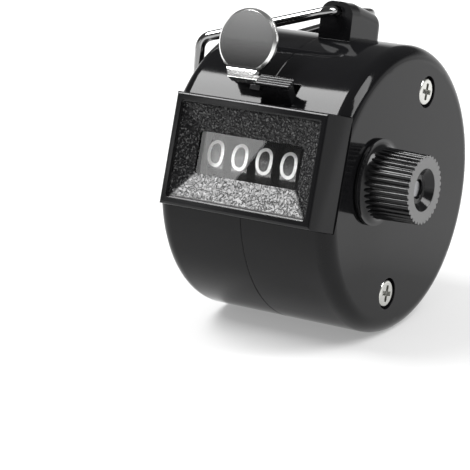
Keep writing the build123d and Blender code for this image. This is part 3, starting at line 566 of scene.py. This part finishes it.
figure_white, tree, shader = finish("figure_white", figure_colour, figure_roughness, edge=figure_edge)
relief(tree, shader, paint_grain, noise(tree, paint_grains_per_mm))
wheel_axis = Vector(next(joint["pos_m"] for joint in frame["joints"] if joint["name"] == "units_turn"))
for wheel in wheel_names:
    wheel_low, wheel_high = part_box(wheel + "_wheel")
    wheel_middle = ((wheel_low.x + wheel_high.x) / 2 - drum_centre.x) / mm
    band_radius = (wheel_high.z - wheel_low.z) / 2 / mm
    figures = wrapped_figures(wheel + "_figures", wheel_middle, wheel_axis, band_radius)
    figures.data.materials.append(figure_white)
    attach(figures, wheel)

# The reset knob: satin black plastic, moulded with fine ribs, pressed on the reset shaft.
# Its end face is left grained and looks grey; the dish in it is smooth.
knob_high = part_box("reset_knob")[1]
knob_end = (knob_high.x - drum_centre.x) / mm
satin_colour = (0.006, 0.006, 0.0065)
satin_polish = 0.14
knob_gloss = 0.3
knob_edge = 0.05
end_face_depths = (0.06, 0.03)
end_face_colour = (0.16, 0.16, 0.16)
end_face_dulling = 0.4
end_face_grain = 0.03
end_face_grains_per_mm = 5.0
knob_black, tree, shader = finish(
    "knob_black", satin_colour, satin_polish, edge=knob_edge, Specular_IOR_Level=knob_gloss
)
end_face = ramp(tree, distance(tree, across_dir), *[knob_end - depth for depth in end_face_depths])
ribbed_colour = shader.inputs["Base Color"].links[0].from_socket
grey = blend_colour(tree, end_face, ribbed_colour, end_face_colour)
tree.links.new(grey, shader.inputs["Base Color"])
ribbed_polish = shader.inputs["Roughness"].links[0].from_socket
dull = calc(tree, "ADD", ribbed_polish, calc(tree, "MULTIPLY", end_face, end_face_dulling))
tree.links.new(dull, shader.inputs["Roughness"])
grains = noise(tree, end_face_grains_per_mm)
relief(tree, shader, end_face_grain, calc(tree, "MULTIPLY", grains, end_face))
dress(("reset_knob",), knob_black)

# The thumb lever: satin black plastic, moulded in one with the yoke inside the drum.
# It turns on a steel pin, and its grooved head holds the plate.
lever_gloss = 0.4
lever_edge = 0.06
lever_black, tree, shader = finish(
    "lever_black", satin_colour, satin_polish, edge=lever_edge, Specular_IOR_Level=lever_gloss
)
dress(("thumb_lever",), lever_black)

# The thumb plate: steel sheet, blanked, bent at the neck and pressed into the lever's head.
# Its face is satin and very slightly dished, with a painted reflection: its colour runs from light at the top to
# dark towards the bend. Its bevel and bend are polished bright.
plate_flat = 17.9
plate_bend = 14.6
plate_colour = (0.45, 0.45, 0.445)
plate_polish = 0.2
plate_unevenness = 0.01
plate_edge = 0.06
painted_shade_rises = (14.8, 19.0)
painted_shade_range = (0.15, 0.47)
edge_facing = (0.985, 0.96)
edge_colour = (0.86, 0.86, 0.85)
dish_curve = 0.004
plate_steel, tree, shader = finish(
    "plate_polish", plate_colour, plate_polish, uneven=plate_unevenness, edge=plate_edge, Metallic=1.0
)
rise = distance(tree, rise_dir)
# Painted reflection: the face's colour is light at the top and dark towards the bend, standing in for the gradient
# its reflections show.
painted_shade = ramp(tree, rise, *painted_shade_rises, *painted_shade_range)
shaded_face = add(tree, "CombineColor")
for channel in ("Red", "Green", "Blue"):
    tree.links.new(painted_shade, shaded_face.inputs[channel])
edge_on = ramp(tree, facing(tree, sight_dir), *edge_facing)
tree.links.new(blend_colour(tree, edge_on, shaded_face.outputs[0], edge_colour), shader.inputs["Base Color"])
dish = calc(tree, "SUBTRACT", calc(tree, "MAXIMUM", rise, plate_bend), plate_flat)
relief(tree, shader, dish_curve, calc(tree, "MULTIPLY", dish, dish))
dress(("thumb_plate",), plate_steel)

# The finger ring: steel wire, bent to shape and then chromed.
# Its two ends are sprung into the eye of the drum's lug, in which it swings.
# Painted shade: the chrome's colour is set darker than chrome, standing in for the dark reflections the wire
# shows.
ring_shaded_colour = (0.32, 0.32, 0.32)
ring_polish = 0.06
ring_edge = 0.02
ring_chrome, tree, shader = finish("ring_chrome", ring_shaded_colour, ring_polish, edge=ring_edge, Metallic=1.0)
dress(("finger_ring",), ring_chrome)

# The screws: steel, cold-headed with a cross slot and nickelled.
# Two hold the halves of the drum together, and two more the holding comb inside.
screw_colour = (0.6, 0.6, 0.57)
screw_polish = 0.2
screw_nickel, tree, shader = finish("screw_nickel", screw_colour, screw_polish, Metallic=1.0)
dress(("case_screws", "comb_screws"), screw_nickel)

# The parts of the movement: blanked steel sheet, ground rods, turned brass and blued spring strip.
# They are riveted, pressed or screwed together inside the drum and hardly show.
sheet_colour, sheet_polish = (0.4, 0.4, 0.41), 0.3
rod_colour, rod_polish = (0.3, 0.3, 0.31), 0.2
brass_colour, brass_polish = (0.6, 0.42, 0.16), 0.25
blued_colour, blued_polish = (0.14, 0.15, 0.18), 0.25
sheet_steel, tree, shader = finish("sheet_steel", sheet_colour, sheet_polish, Metallic=1.0)
dress(("movement_frame", "stack_washer", "home_rivet", "comb_rivets"), sheet_steel)
rod_steel, tree, shader = finish("rod_steel", rod_colour, rod_polish, Metallic=1.0)
dress(("reset_shaft", "lever_pin"), rod_steel)
brass, tree, shader = finish("turned_brass", brass_colour, brass_polish, Metallic=1.0)
dress(("shaft_bush", "home_cam"), brass)
blued, tree, shader = finish("blued_spring", blued_colour, blued_polish, Metallic=1.0)
springs = ["shaft_clip", "home_spring", "holding_comb", "drive_comb", "lever_spring"]
dress(springs + [wheel + "_leaf" for wheel in wheel_names], blued)
